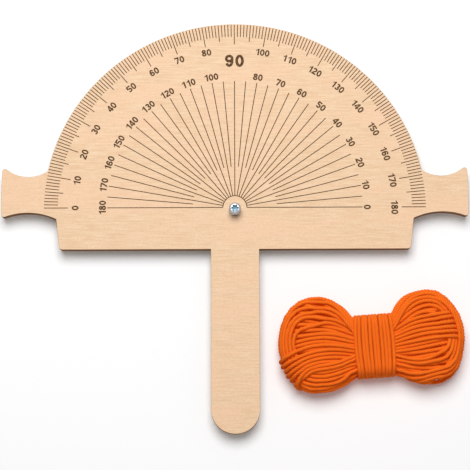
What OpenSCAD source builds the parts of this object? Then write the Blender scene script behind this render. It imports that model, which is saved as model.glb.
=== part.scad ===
// Angle finder: a laser-cut plywood protractor plate with two ears and a handle, a screw that carries
// the line, and a hank of yarn for the line, which lies beside the handle.
// Millimetres. The origin is on the screw's axis at the front face of the plate, +Z comes out of that
// face and the handle points along -Y.

/* [Plate] */
// Thickness of the plywood
plate_t = 6; // [4:0.5:9]
// Radius of the arc that carries the degree marks
scale_r = 127.5; // [122:0.5:130]
// Height of the zero line above the screw's axis
zero_y = 2; // [0:0.5:3]
// Depth of the strip below the zero line
base_drop = 28.2; // [20:0.1:40]
// Length of the straight bottom edge, corner to corner
base_w = 233; // [210:1:238]
// Width of the strip where it runs into the arc
base_top_w = 239.6; // [238:0.2:242]
// Rounding of the two bottom corners
corner_r = 2.5; // [1:0.1:5]

/* [Handle] */
// Width of the handle
handle_w = 32; // [20:1:50]
// Length of the handle below the strip, round end included
handle_l = 121.8; // [60:0.1:180]

/* [Ears] */
// Width over both ears
ear_span = 311; // [300:1:330]
// Distance from an ear's end to its narrowest place
neck_in = 17.5; // [15:0.1:20]
// Height of the upper hollow's lowest point above the zero line
neck_rise = 21.3; // [16:0.1:26]
// Depth of the lower hollow's highest point below the zero line
neck_fall = 3.2; // [1:0.1:6]
// Radius of the upper hollow
upper_hollow_r = 23; // [20:0.5:30]
// Radius of the lower hollow
lower_hollow_r = 44; // [36:0.5:60]
// Rounding of the ear's corners
tip_r = 1.8; // [1:0.1:3]

/* [Screw and nuts] */
// Thread diameter of the screw
screw_d = 4; // [3:0.5:5]
// Length of the screw under its head
screw_l = 16; // [15:0.5:24]
// Diameter of the pan head
head_d = 8; // [7:0.1:10]
// Height of the pan head
head_h = 3.1; // [2.4:0.1:4]
// Radius of the head's shoulder
head_shoulder_r = 1.7; // [0.8:0.1:2.2]
// Radius of the head's domed top
head_dome_r = 14; // [10:0.5:30]
// Width of the six-lobe socket over its lobes
socket_w = 4.5; // [3.4:0.1:5]
// Depth of the six-lobe socket
socket_h = 1.7; // [1:0.1:2]
// Depth of the cone at the socket's bottom
socket_tip = 0.5; // [0.2:0.1:0.8]
// Chamfer at the screw's end
screw_end = 0.5; // [0.2:0.1:0.8]
// Width of a nut across its flats
nut_w = 7; // [6.6:0.1:9]
// Height of a nut
nut_h = 3.2; // [2:0.1:4]
// Diameter of a nut's bearing face, inside its chamfered corners
nut_face_d = 6.6; // [6:0.1:6.6]
// Depth of the countersinks in a nut's bore
nut_sink = 0.3; // [0.1:0.1:0.5]
// Free neck between the front nut and the head, where the line is tied
neck_l = 1.9; // [1:0.1:3]
// Clearance of the screw in the nuts, on the radius
thread_gap = 0.05; // [0.02:0.01:0.1]
// Clearance of the screw in the plate, on the radius
hole_gap = 0.25; // [0.1:0.05:0.5]

/* [Yarn hank] */
// Diameter of the yarn
yarn_d = 2.7; // [2.3:0.1:2.7]
// Gap between strands that lie tight
tight_gap = 0.45; // [0.44:0.01:0.6]
// More room from strand to strand where they leave the waist at a slant
slant_gap = 0.2; // [0.2:0.01:0.3]
// Loops in one layer of the hank, which has four
layer_loops = 5; // [4:1:5]
// Length of the hank over its two lobes
hank_l = 121.5; // [118:0.5:130]
// Width of a lobe
lobe_w = 64.5; // [62:0.5:70]
// Height of a lobe
lobe_h = 24; // [22:0.5:28]
// Length of a lobe's round end as a share of its half width
lobe_round = 0.78; // [0.74:0.01:0.85]
// Step from loop to loop at the ends of the lobes
end_step = 5.6; // [5.4:0.1:5.8]
// Width of the innermost loop in the lobes
inner_w = 9; // [8:0.5:10]
// Step from loop to loop of the places where the strands leave the waist
bend_step = 0.9; // [0.7:0.1:1.1]
// Share of a lobe's height that its rim keeps
rim_share = 0.62; // [0.58:0.01:0.8]
// Share of a lobe's length on which its strands rise
rise_share = 0.9; // [0.85:0.01:1]
// Wraps of the band round the waist
wraps = 8; // [6:1:8]
// Rise of the strand that leaves the hank for the band
link_rise = 1.6; // [1.2:0.1:2.4]
// Place of the hank beside the handle
hank_x = 90; // [86:1:120]
// Place of the hank below the screw
hank_y = -92; // [-110:1:-80]
// Turn of the hank on the table, in degrees
hank_turn = 4; // [0:0.5:8]

/* [Hidden] */

// Curves finer than this many sides are true circles
$fn = 96;
// Overlap of two shapes that are joined or cut, so that no skin is left between them
cut = 1;

base_y = zero_y - base_drop;
handle_r = handle_w / 2;
handle_end_y = base_y - handle_l;

neck_x = ear_span / 2 - neck_in;
upper_hollow = [neck_x, zero_y + neck_rise + upper_hollow_r];
lower_hollow = [neck_x, zero_y - neck_fall - lower_hollow_r];
// Where an ear starts, inside the arc, and the heights between which it is rooted. At each height
// the hollow's circle already lies inside the body
ear_root_x = base_w / 2 - 16;
ear_root_top = upper_hollow[1] - 0.6 * upper_hollow_r;
ear_root_low = lower_hollow[1] + 0.8 * lower_hollow_r;

screw_r = screw_d / 2;
head_z = nut_h + neck_l;
head_top = head_z + head_h;
// Width of the socket between its hollows, as a share of its width over the lobes
socket_core = 0.7;
tip_z = head_z - screw_l;
nut_bore_r = screw_r + thread_gap;
hole_r = screw_r + hole_gap;
// The table that the screw's end and the hank lie on
floor_z = tip_z;

yarn_r = yarn_d / 2;
pitch = yarn_d + tight_gap;
// Step from strand to strand in the waist, up, across and along the band
step = pitch + slant_gap;
// Height of a strand's middle over the table, which cuts a tenth of its diameter flat
rest_h = 0.4 * yarn_d;
// Rings in a loop, and how many of them lie in a quarter and in a quarter's round end
rings = 24;
quarter = rings / 4;
round_rings = quarter - 2;
sides = 6;
first_ring = 3 * quarter;
last_ring = (4 * layer_loops - 1) * rings - quarter;
// Loops from the outermost one in to the innermost one
depth_in = layer_loops - 0.25;
// Half length and half width of the outermost loop, on the strand's middle
loop_x = hank_l / 2 - yarn_r;
loop_y = lobe_w / 2 - yarn_r;
side_step = (loop_y - inner_w / 2) / depth_in;
layer_h = (lobe_h - rest_h - yarn_r) / 3;
lobe_z = floor_z + rest_h + 1.5 * layer_h;
// The waist lies inside the band, whose lowest strands lie on the table
waist_z = floor_z + rest_h + pitch + 1.5 * step;
waist_x = wraps * step / 2 + yarn_r + tight_gap;
band_x = wraps * step / 2;
band_y = (layer_loops + 0.1) * step + pitch;
band_z = 1.5 * step + pitch;
band_round = 2 * pitch;

// Plate

// Centre of a corner's rounding that touches the ear's end and, from outside, a hollow's circle;
// side is -1 under the upper hollow and 1 above the lower one
function tip_centre(hollow, r, side) =
    let (x = ear_span / 2 - tip_r, reach = r + tip_r)
    [x, hollow[1] + side * sqrt(reach * reach - (x - hollow[0]) * (x - hollow[0]))];

// Point where that rounding touches the hollow's circle
function tip_touch(hollow, r, centre) = hollow + (centre - hollow) * r / (r + tip_r);

module ear_outline() {
    top = tip_centre(upper_hollow, upper_hollow_r, -1);
    low = tip_centre(lower_hollow, lower_hollow_r, 1);
    difference() {
        polygon([
            [ear_root_x, ear_root_low],
            [neck_x, ear_root_low],
            tip_touch(lower_hollow, lower_hollow_r, low),
            low,
            [ear_span / 2, low[1]],
            [ear_span / 2, top[1]],
            top,
            tip_touch(upper_hollow, upper_hollow_r, top),
            [neck_x, ear_root_top],
            [ear_root_x, ear_root_top]
        ]);
        translate(upper_hollow) circle(upper_hollow_r);
        translate(lower_hollow) circle(lower_hollow_r);
    }
    translate(top) circle(tip_r);
    translate(low) circle(tip_r);
}

// Half disc above the zero line
module arc_outline() {
    intersection() {
        translate([0, zero_y]) circle(scale_r);
        translate([-scale_r, zero_y]) square([2 * scale_r, scale_r]);
    }
}

// Strip below the zero line, with sides that lean in and rounded bottom corners
module strip_outline() {
    lean = (base_top_w - base_w) / 2;
    side_l = norm([lean, base_drop]);
    centre = [
        base_w / 2 + lean * corner_r / base_drop - corner_r * side_l / base_drop,
        base_y + corner_r
    ];
    touch = centre + corner_r / side_l * [base_drop, -lean];
    right = [
        [base_top_w / 2, zero_y + cut],
        [base_top_w / 2, zero_y],
        touch,
        centre,
        [centre[0], base_y]
    ];
    left = [for (p = right) [-p[0], p[1]]];
    polygon(concat(left, [for (i = [len(right) - 1:-1:0]) right[i]]));
    translate(centre) circle(corner_r);
    translate([-centre[0], centre[1]]) circle(corner_r);
}

module handle_outline() {
    translate([-handle_r, handle_end_y + handle_r]) square([handle_w, handle_l - handle_r + cut]);
    translate([0, handle_end_y + handle_r]) circle(handle_r);
}

module plate() {
    color([0.93, 0.80, 0.65])
    difference() {
        translate([0, 0, -plate_t]) linear_extrude(plate_t) {
            arc_outline();
            strip_outline();
            ear_outline();
            mirror([1, 0]) ear_outline();
            handle_outline();
        }
        translate([0, 0, -plate_t - cut]) cylinder(h = plate_t + 2 * cut, r = hole_r);
    }
}

// Screw and nuts

// Half of the pan head: a domed top that runs on smoothly into a round shoulder
module head_profile() {
    dome = [0, head_top - head_dome_r];
    shoulder_x = head_d / 2 - head_shoulder_r;
    inner_r = head_dome_r - head_shoulder_r;
    shoulder = [shoulder_x, dome[1] + sqrt(inner_r * inner_r - shoulder_x * shoulder_x)];
    touch = dome + (shoulder - dome) * head_dome_r / inner_r;
    intersection() {
        union() {
            intersection() {
                polygon([
                    [0, head_z],
                    [head_d / 2, head_z],
                    [head_d / 2, shoulder[1]],
                    shoulder,
                    touch,
                    [0, head_top + cut]
                ]);
                translate(dome) circle(head_dome_r);
            }
            translate(shoulder) circle(head_shoulder_r);
        }
        translate([0, head_z]) square([head_d / 2, head_h]);
    }
}

// Six round lobes with a hollow between each two of them
module socket_outline() {
    lobe_r = 0.1 * socket_w;
    lobe_c = socket_w / 2 - lobe_r;
    flute_r = 0.19 * socket_w;
    flute_c = socket_core * socket_w / 2 + flute_r;
    difference() {
        circle(lobe_c + lobe_r / 4);
        for (i = [0:5]) rotate(60 * i + 30) translate([flute_c, 0]) circle(flute_r);
    }
    for (i = [0:5]) rotate(60 * i) translate([lobe_c, 0]) circle(lobe_r);
}

module pivot_screw() {
    color([0.72, 0.73, 0.75])
    difference() {
        rotate_extrude() {
            polygon([
                [0, tip_z],
                [screw_r - screw_end, tip_z],
                [screw_r, tip_z + screw_end],
                [screw_r, head_z + cut],
                [0, head_z + cut]
            ]);
            head_profile();
        }
        translate([0, 0, head_top - socket_h]) linear_extrude(socket_h + cut) socket_outline();
        translate([0, 0, head_top - socket_h - socket_tip])
            cylinder(h = socket_tip, r1 = 0, r2 = socket_core * socket_w / 2);
    }
}

// Hexagon nut from z up, with flats toward +Y and -Y
module hex_nut(z) {
    corner = nut_w / 2 / cos(30);
    bevel = (corner - nut_face_d / 2) * tan(30);
    color([0.78, 0.79, 0.81])
    translate([0, 0, z])
    difference() {
        intersection() {
            cylinder(h = nut_h, r = corner, $fn = 6);
            rotate_extrude() polygon([
                [0, 0],
                [nut_face_d / 2, 0],
                [corner, bevel],
                [corner, nut_h - bevel],
                [nut_face_d / 2, nut_h],
                [0, nut_h]
            ]);
        }
        translate([0, 0, -cut]) cylinder(h = nut_h + 2 * cut, r = nut_bore_r);
        cylinder(h = nut_sink, r1 = nut_bore_r + nut_sink, r2 = nut_bore_r);
        translate([0, 0, nut_h - nut_sink])
            cylinder(h = nut_sink, r1 = nut_bore_r, r2 = nut_bore_r + nut_sink);
    }
}

module front_nut() hex_nut(0);

module back_nut() hex_nut(-plate_t - nut_h);

// Yarn

function smooth(u) = let (c = min(max(u, 0), 1)) c * c * (3 - 2 * c);

function unit(v) = v / norm(v);

// Loops in from the outermost one at turn t: the spiral runs in and out again at a steady rate
function depth(t) =
    let (m = (t + 0.25) % (2 * layer_loops))
    (m <= layer_loops ? m : 2 * layer_loops - m) - 0.25;

// Layer at turn t: a climb takes the half turn in which the spiral reverses
function layer(t) =
    smooth(2 * (t - layer_loops) + 1)
    + smooth(2 * (t - 2 * layer_loops) + 1)
    + smooth(2 * (t - 3 * layer_loops) + 1);

// Middle of the strand at ring i: a round end at each lobe and a straight run through the waist
function loop_point(i) =
    let (
        t = i / rings,
        k = i % rings,
        from_tip = k % (2 * quarter),
        u = min(from_tip, 2 * quarter - from_tip),
        side_x = k <= quarter || k >= 3 * quarter ? 1 : -1,
        side_y = k < 2 * quarter ? 1 : -1,
        s = depth(t),
        share = max(s, 0) / depth_in,
        tip_x = loop_x - s * end_step,
        half_w = loop_y - s * side_step,
        round_l = half_w * (lobe_round + (1 - lobe_round) * share),
        bend_x = waist_x + max(s, 0) * bend_step,
        angle = 90 * u / round_rings,
        x = u <= round_rings ? tip_x - round_l + round_l * cos(angle)
            : u < quarter ? bend_x
            : 0,
        y = u <= round_rings ? half_w * sin(angle) : (depth_in - s + 0.3) * step,
        rise = smooth((x - bend_x) / (rise_share * (tip_x - bend_x))),
        level = layer(t) - 1.5,
        dome = rim_share + (1 - rim_share) * share
    )
    [
        side_x * x,
        side_y * y + 0.25 * step,
        (waist_z + level * step) * (1 - rise) + (lobe_z + level * layer_h * dome) * rise
    ];

// Corner points of the band's rounded section, in y and z from the middle of the waist
function band_corner(side_y, side_z, from) =
    [for (i = [0:3])
        let (r = band_round / cos(11.25), a = from + 22.5 * i)
        [side_y * (band_y - band_round) + r * cos(a), side_z * (band_z - band_round) + r * sin(a)]
    ];
band_flat_y = (band_y - band_round) / 3;
band_flat_z = band_z - band_round;
band_section = concat(
    [[-band_y, band_flat_z], [-band_y, -band_flat_z]],
    band_corner(-1, -1, 191.25),
    [[-band_flat_y, -band_z], [band_flat_y, -band_z]],
    band_corner(1, -1, 281.25),
    [[band_y, -band_flat_z], [band_y, band_flat_z]],
    band_corner(1, 1, 11.25),
    [[band_flat_y, band_z], [-band_flat_y, band_z]],
    band_corner(-1, 1, 101.25)
);
// Way along the section to each of its points, and once round it
function way_to(j) = j == 0 ? 0 : way_to(j - 1) + norm(band_section[j] - band_section[j - 1]);
section_way = [for (j = [0:rings - 1]) way_to(j)];
section_l = section_way[rings - 1] + norm(band_section[0] - band_section[rings - 1]);

// Middle of the band's strand at ring j: it starts and ends straight down the near side
function band_point(j) =
    let (
        k = j % rings,
        way = floor(j / rings) * section_l + section_way[k],
        x = band_x - step * max(0, way - section_way[1]) / section_l
    )
    [x, band_section[k][0], waist_z + band_section[k][1]];

// The last strand comes out of the waist, bends over its edge and runs down into the band
out_x = band_x - 0.75 * step + pitch;
out_point = [out_x, loop_point(last_ring)[1], loop_point(last_ring)[2]];
in_point = band_point(0) + [0, 0, yarn_d];
link_handles = [out_point + [2 * pitch, 0, link_rise], in_point + [1, -0.6, 2 * pitch]];
function link_point(u) =
    pow(1 - u, 3) * out_point
    + 3 * pow(1 - u, 2) * u * link_handles[0]
    + 3 * (1 - u) * u * u * link_handles[1]
    + u * u * u * in_point;
link_rings = 8;

hank_path = concat(
    [for (i = [first_ring:last_ring]) loop_point(i)],
    [out_point - [yarn_d, 0, 0], out_point],
    [for (i = [1:link_rings]) link_point(i / link_rings)],
    [band_point(0)]
);
band_path = [for (j = [0:wraps * rings + 1]) band_point(j)];
// Rings of the hank over which a ring's first corner turns from level to along the waist
turn_from = last_ring - first_ring + 2;
turn_rings = len(hank_path) - 2 - turn_from;

function way_on(path, i) =
    let (n = len(path) - 1)
    i == 0 ? unit(path[1] - path[0])
    : i == n ? unit(path[n] - path[n - 1])
    : unit(unit(path[i] - path[i - 1]) + unit(path[i + 1] - path[i]));

// Ring of corners round point c of a strand that runs along way; along is 0 where its first corner
// lies level and 1 where it lies along the waist
function ring(c, way, along) =
    let (
        level = along < 1 ? unit(cross([0, 0, 1], way)) : [1, 0, 0],
        hint = (1 - along) * level + along * [1, 0, 0],
        a = unit(hint - (hint * way) * way),
        b = cross(way, a)
    )
    [for (k = [0:sides - 1])
        let (p = c + yarn_r * (cos(k * 360 / sides) * a + sin(k * 360 / sides) * b))
        [p[0], p[1], max(p[2], floor_z)]
    ];

// One tube along a path, with a flat face at each end
module strand(path, along) {
    n = len(path);
    points = [for (i = [0:n - 1]) each ring(path[i], way_on(path, i), along[i])];
    walls = [for (i = [0:n - 2]) for (k = [0:sides - 1])
        let (a = i * sides + k, b = i * sides + (k + 1) % sides)
        each [[a, a + sides, b], [b, a + sides, b + sides]]
    ];
    ends = [for (k = [1:sides - 2])
        each [[0, k, k + 1], [(n - 1) * sides, (n - 1) * sides + k + 1, (n - 1) * sides + k]]
    ];
    polyhedron(points, concat(walls, ends));
}

// Distance of point p from the line between a and b
function reach(p, a, b) =
    let (l = b - a, u = min(max((p - a) * l / (l * l), 0), 1))
    norm(p - a - u * l);

// Least gap of the yarn to itself, from every ring and every middle between two rings to every
// stretch that lies three or more rings further on
function least_gap(path) =
    let (
        n = len(path) - 1,
        middles = [for (i = [0:n - 1]) (path[i] + path[i + 1]) / 2],
        halves = [for (i = [0:n - 1]) norm(path[i + 1] - path[i]) / 2 + 2 * pitch]
    )
    min([for (i = [0:n - 4]) for (j = [i + 3:n - 1])
        if (norm(middles[i] - middles[j]) < halves[i] + halves[j] - 2 * pitch)
        min(
            reach(path[i], path[j], path[j + 1]),
            reach(middles[i], path[j], path[j + 1]),
            reach(path[j + 1], path[i], path[i + 1]),
            reach(middles[j], path[i], path[i + 1])
        )
    ]) - yarn_d;

module lay_hank() {
    color([0.96, 0.45, 0.10])
    translate([hank_x, hank_y, 0]) rotate([0, 0, hank_turn]) children();
}

module yarn_hank() {
    n = len(hank_path);
    lay_hank() strand(hank_path, [for (i = [0:n - 1]) smooth((i - turn_from) / turn_rings)]);
}

module yarn_band() {
    whole = concat(hank_path, [for (j = [1:len(band_path) - 1]) band_path[j]]);
    echo(least_gap_mm = least_gap(whole));
    lay_hank() strand(band_path, [for (p = band_path) 1]);
}

plate();
pivot_screw();
front_nut();
back_nut();
yarn_hank();
yarn_band();
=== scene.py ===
"""Angle finder: a laser-cut plywood protractor with ears and a handle, the screw and nuts of its
pivot, and a hank of yarn for its line. The frame is in metres; the code of a shape is in millimetres."""

import math
from collections import Counter

import bpy
import numpy as np
from bpy.props import FloatProperty, FloatVectorProperty, IntProperty, PointerProperty
from mathutils import Matrix, Vector
from mathutils.geometry import delaunay_2d_cdt


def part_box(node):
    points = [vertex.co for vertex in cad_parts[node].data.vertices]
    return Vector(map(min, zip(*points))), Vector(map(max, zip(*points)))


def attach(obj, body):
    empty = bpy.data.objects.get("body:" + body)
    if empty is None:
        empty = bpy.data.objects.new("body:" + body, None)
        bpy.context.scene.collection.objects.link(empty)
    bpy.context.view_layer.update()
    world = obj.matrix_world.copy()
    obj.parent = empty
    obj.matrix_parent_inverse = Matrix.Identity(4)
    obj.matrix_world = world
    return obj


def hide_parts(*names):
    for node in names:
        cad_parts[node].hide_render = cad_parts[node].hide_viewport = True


bl_info = {
    "name": "Angle finder",
    "version": (1, 0, 0),
    "blender": (4, 5, 0),
    "location": "View3D > Sidebar > Angle finder",
    "description": "Plywood angle finder with a pivot screw and a hank of yarn",
    "category": "Add Mesh",
}

MM = 0.001
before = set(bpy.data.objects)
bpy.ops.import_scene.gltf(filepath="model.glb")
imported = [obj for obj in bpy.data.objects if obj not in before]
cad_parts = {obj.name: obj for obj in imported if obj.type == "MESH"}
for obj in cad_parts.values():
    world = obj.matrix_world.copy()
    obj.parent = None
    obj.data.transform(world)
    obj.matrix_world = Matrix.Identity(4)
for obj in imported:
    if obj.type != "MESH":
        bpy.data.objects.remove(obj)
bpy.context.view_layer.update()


def node_box(node):
    """Lowest and highest corner of a part in the frame, in millimetres."""
    low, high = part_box(node)
    return np.array(low) / MM, np.array(high) / MM


PLATE_LOW, PLATE_HIGH = node_box("plate")
SCREW_LOW, SCREW_HIGH = node_box("pivot_screw")
FLOOR_Z = SCREW_LOW[2]


# Materials


class Wire:
    """One output of a node. Sums of wires add the nodes that work them out."""

    def __init__(self, finish, socket):
        self.finish = finish
        self.socket = socket

    def _sum(self, operation, first, second=None):
        vector = self.socket.type == "VECTOR"
        kind = "ShaderNodeVectorMath" if vector else "ShaderNodeMath"
        links = {0: first}
        if second is not None:
            links[1] = (second,) * 3 if vector and isinstance(second, (int, float)) else second
        return self.finish.node(kind, {"operation": operation}, links)

    def __add__(self, other):
        return self._sum("ADD", self, other)

    def __radd__(self, other):
        return self._sum("ADD", other, self)

    def __sub__(self, other):
        return self._sum("SUBTRACT", self, other)

    def __rsub__(self, other):
        return self._sum("SUBTRACT", other, self)

    def __mul__(self, other):
        return self._sum("MULTIPLY", self, other)

    def __rmul__(self, other):
        return self._sum("MULTIPLY", other, self)

    def __truediv__(self, other):
        return self._sum("DIVIDE", self, other)

    def __pow__(self, other):
        return self._sum("POWER", self, other)

    def sine(self):
        return self._sum("SINE", self)

    def ramp(self, low, high, start=0.0, end=1.0):
        """Runs smoothly from start to end as the wire goes from low to high."""
        return self.finish.node(
            "ShaderNodeMapRange",
            {"interpolation_type": "SMOOTHSTEP"},
            {"Value": self, "From Min": low, "From Max": high, "To Min": start, "To Max": end},
            "Result",
        )


class Finish:
    """A material with one glossy shader, whose other nodes come from expressions."""

    def __init__(self, name):
        self.material = bpy.data.materials.new(name)
        self.material.use_nodes = True
        self.tree = self.material.node_tree
        self.shader = self.tree.nodes["Principled BSDF"]

    def node(self, kind, settings=None, links=None, output=0):
        """Adds a node, sets its settings, then its sockets, and gives one of its outputs."""
        made = self.tree.nodes.new(kind)
        for name, value in (settings or {}).items():
            setattr(made, name, value)
        for name, value in (links or {}).items():
            self.feed(made.inputs[name], value)
        return Wire(self, made.outputs[output])

    def feed(self, socket, value):
        if isinstance(value, Wire):
            self.tree.links.new(value.socket, socket)
        elif socket.type == "RGBA" and len(value) == 3:
            socket.default_value = (*value, 1.0)
        else:
            socket.default_value = value

    def place(self, scale=(1.0, 1.0, 1.0)):
        """Place on the piece in millimetres, times scale."""
        spot = self.node("ShaderNodeTexCoord", output="Object")
        return spot * tuple(s / MM for s in scale)

    def noise(self, vector, scale=1.0, detail=2.0, roughness=0.5, distortion=0.0):
        links = {
            "Vector": vector,
            "Scale": scale,
            "Detail": detail,
            "Roughness": roughness,
            "Distortion": distortion,
        }
        return self.node("ShaderNodeTexNoise", None, links)

    def mix(self, factor, first, second, blend="MIX"):
        """Colour between first and second."""
        settings = {"data_type": "RGBA", "blend_type": blend}
        return self.node("ShaderNodeMix", settings, {0: factor, 6: first, 7: second}, 2)

    def bump(self, height, distance, strength=1.0):
        links = {"Height": height, "Distance": distance * MM, "Strength": strength}
        self.set(Normal=self.node("ShaderNodeBump", None, links))

    def set(self, **values):
        """Sets the shader's own sockets; an underscore in a name stands for a space."""
        for name, value in values.items():
            self.feed(self.shader.inputs[name.replace("_", " ")], value)
        return self


def plywood_face(settings):
    """Pale fine-grained veneer, its grain along the zero line."""
    finish = Finish("plywood_face")
    streak = finish.noise(finish.place((0.07, 0.9, 1.0)), detail=5.0, roughness=0.65)
    pores = finish.noise(finish.place((0.35, 2.4, 1.0)), detail=3.0, roughness=0.7)
    broad = finish.noise(finish.place((0.012, 0.05, 0.05)), detail=2.0, distortion=0.6)
    speck = finish.noise(finish.place((0.8, 1.2, 1.0)), detail=2.0)
    wood = tuple(settings.wood)
    dark = tuple(c * s for c, s in zip(wood, (0.90, 0.83, 0.76)))
    pink = tuple(c * s for c, s in zip(wood, (1.03, 0.93, 0.93)))
    deep = tuple(c * s for c, s in zip(wood, (0.80, 0.68, 0.58)))
    colour = finish.mix(streak.ramp(0.36, 0.66), wood, dark)
    colour = finish.mix(broad.ramp(0.4, 0.65, 0.0, 0.6), colour, pink)
    colour = finish.mix(pores.ramp(0.5, 0.72, 0.0, 0.6), colour, deep)
    colour = finish.mix(speck.ramp(0.48, 0.72, 0.0, 0.4), colour, deep)
    finish.set(Base_Color=colour, Roughness=streak.ramp(0.3, 0.7, 0.5, 0.62))
    finish.set(Coat_Weight=0.06, Coat_Roughness=0.35, Specular_IOR_Level=0.35)
    finish.bump(streak * 0.5 + pores * 0.5, 0.05)
    return finish.material


def burnt_mark(settings):
    """Floor of the engraved marks."""
    finish = Finish("burnt_mark")
    soot = finish.noise(finish.place((0.8, 0.8, 0.8)), detail=3.0)
    burn = tuple(settings.burn)
    toast = tuple(c * 2.1 + 0.02 for c in burn)
    finish.set(Base_Color=finish.mix(soot.ramp(0.4, 0.7), burn, toast))
    finish.set(Roughness=0.8, Specular_IOR_Level=0.2)
    finish.bump(soot, 0.04)
    return finish.material


def burnt_edge(settings):
    """Cut edge of the plies: every second ply burns darker, with upright traces of the cut."""
    finish = Finish("burnt_edge")
    depth = finish.node("ShaderNodeSeparateXYZ", None, {0: finish.place()}, "Z")
    plies = (depth * (math.pi / settings.ply / 1000.0)).sine()
    traces = finish.noise(finish.place((1.6, 1.6, 0.12)), detail=3.0)
    soot = finish.noise(finish.place((0.09, 0.09, 0.3)), detail=2.0)
    burn = tuple(c * s for c, s in zip(settings.burn, (1.4, 1.1, 1.1)))
    toast = tuple(c * s for c, s in zip(settings.burn, (4.2, 4.0, 5.0)))
    shade = plies.ramp(-0.25, 0.25, 0.18, 0.52) + traces.ramp(0.4, 0.7, 0.0, 0.22)
    colour = finish.mix(shade, burn, toast)
    colour = finish.mix(soot.ramp(0.45, 0.7, 0.0, 0.5), colour, burn)
    finish.set(Base_Color=colour, Roughness=traces.ramp(0.3, 0.7, 0.6, 0.85))
    finish.set(Specular_IOR_Level=0.25)
    finish.bump(traces, 0.08)
    return finish.material


def zinc(settings, name, roughness):
    """Bright zinc plating with fine scratches and a few dull places."""
    finish = Finish(name)
    haze = finish.noise(finish.place((0.7, 0.7, 0.7)), detail=3.0)
    scratch = finish.noise(finish.place((9.0, 1.3, 3.0)), detail=2.0)
    plating = tuple(settings.zinc)
    dull_and_shade = tuple(c * s for c, s in zip(plating, (0.80, 0.82, 0.86)))
    finish.set(Base_Color=finish.mix(haze.ramp(0.4, 0.7), plating, dull_and_shade), Metallic=1.0)
    finish.set(Roughness=haze.ramp(0.3, 0.7, roughness, roughness + 0.14))
    finish.bump(scratch, 0.012)
    return finish.material


def socket_finish(settings):
    """Plating with painted shade inside the socket: the recess is darkened in colour, standing in for the shade that
    falls there.
    """
    finish = Finish("socket_painted_shade")
    shade_mottle = finish.noise(finish.place((1.1, 1.1, 1.1)), detail=2.0)
    # Painted shade: dark plating and slightly lighter shaded plating, mottled, fill the whole recess
    dull_and_shade = tuple(c * s for c, s in zip(settings.zinc, (0.12, 0.19, 0.24)))
    lighter_shade = tuple(c * s for c, s in zip(settings.zinc, (0.30, 0.40, 0.46)))
    finish.set(Base_Color=finish.mix(shade_mottle.ramp(0.4, 0.65), dull_and_shade, lighter_shade))
    finish.set(Metallic=1.0, Roughness=shade_mottle.ramp(0.3, 0.7, 0.3, 0.42))
    return finish.material


def yarn_fibre(settings):
    """Soft twisted yarn: fine fibres over the plies, with painted shade in the grooves between them."""
    finish = Finish("yarn_fibre")
    fibre = finish.noise(finish.place((5.0, 5.0, 5.0)), detail=4.0, roughness=0.7)
    fuzz = finish.noise(finish.place((14.0, 14.0, 14.0)), detail=2.0)
    tone = finish.noise(finish.place((0.35, 0.35, 0.35)), detail=2.0)
    groove_shade = finish.node("ShaderNodeAttribute", {"attribute_name": "groove_shade"}, output="Fac")
    yarn = tuple(settings.yarn)
    deep = tuple(c * s for c, s in zip(yarn, (0.86, 0.38, 0.35)))
    light = tuple(min(1.0, c * s) for c, s in zip(yarn, (1.0, 1.5, 2.2)))
    colour = finish.mix(fibre.ramp(0.35, 0.7, 0.35, 0.0), yarn, deep)
    colour = finish.mix(fuzz.ramp(0.5, 0.75, 0.0, 0.5), colour, light)
    colour = finish.mix(tone.ramp(0.4, 0.7, 0.0, 0.2), colour, deep)
    # Painted shade: the colour darkens toward deep in the grooves between the plies
    colour = finish.mix(groove_shade.ramp(0.1, 0.9, 0.0, 0.85), colour, deep)
    finish.set(Base_Color=colour, Roughness=0.9, Specular_IOR_Level=0.15)
    finish.set(Sheen_Weight=0.12, Sheen_Roughness=0.5, Sheen_Tint=(1.0, 0.5, 0.2, 1.0))
    # Painted glow: a faint red emission makes the yarn brighter and redder than its lighting
    finish.set(Emission_Color=(1.0, 0.1, 0.0), Emission_Strength=settings.glow)
    finish.bump(fibre * 0.7 + fuzz * 0.3, 0.22)
    return finish.material


# Meshes


def mesh_piece(name, points, faces, materials, face_slots=None, smooth=False):
    """A piece from points in millimetres."""
    mesh = bpy.data.meshes.new(name)
    mesh.from_pydata((np.asarray(points, float) * MM).tolist(), [], faces)
    for material in materials:
        mesh.materials.append(material)
    if face_slots is not None:
        mesh.polygons.foreach_set("material_index", np.asarray(face_slots, np.int32))
    if smooth:
        mesh.polygons.foreach_set("use_smooth", np.ones(len(mesh.polygons), bool))
    mesh.validate()
    mesh.update()
    piece = bpy.data.objects.new(name, mesh)
    bpy.context.scene.collection.objects.link(piece)
    return piece


def ring_walls(rings, around, closed_ends=True):
    """Four-sided faces between rings of points that follow each other, and a fan over each end."""
    faces = [
        (r * around + k, r * around + (k + 1) % around,
         (r + 1) * around + (k + 1) % around, (r + 1) * around + k)
        for r in range(rings - 1)
        for k in range(around)
    ]
    if closed_ends:
        faces.append(tuple(reversed(range(around))))
        faces.append(tuple(range((rings - 1) * around, rings * around)))
    return faces


# Plate


def face_loops(node, height):
    """Outlines of a part's flat face at a height, the longest first; points in millimetres."""
    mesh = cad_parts[node].data
    points = [np.array(v.co) / MM for v in mesh.vertices]

    def key(index):
        return round(points[index][0], 3), round(points[index][1], 3)

    edges = Counter()
    for polygon in mesh.polygons:
        if all(abs(points[i][2] - height) < 1e-3 for i in polygon.vertices):
            corners = [key(i) for i in polygon.vertices]
            edges.update(zip(corners, corners[1:] + corners[:1]))
    onward = {a: b for a, b in edges if edges[a, b] > edges[b, a]}
    loops = []
    while onward:
        start = next(iter(sorted(onward)))
        loop, spot = [], start
        while spot in onward:
            loop.append(spot)
            spot = onward.pop(spot)
        loops.append(np.array(loop))
    return sorted(loops, key=len, reverse=True)


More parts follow.
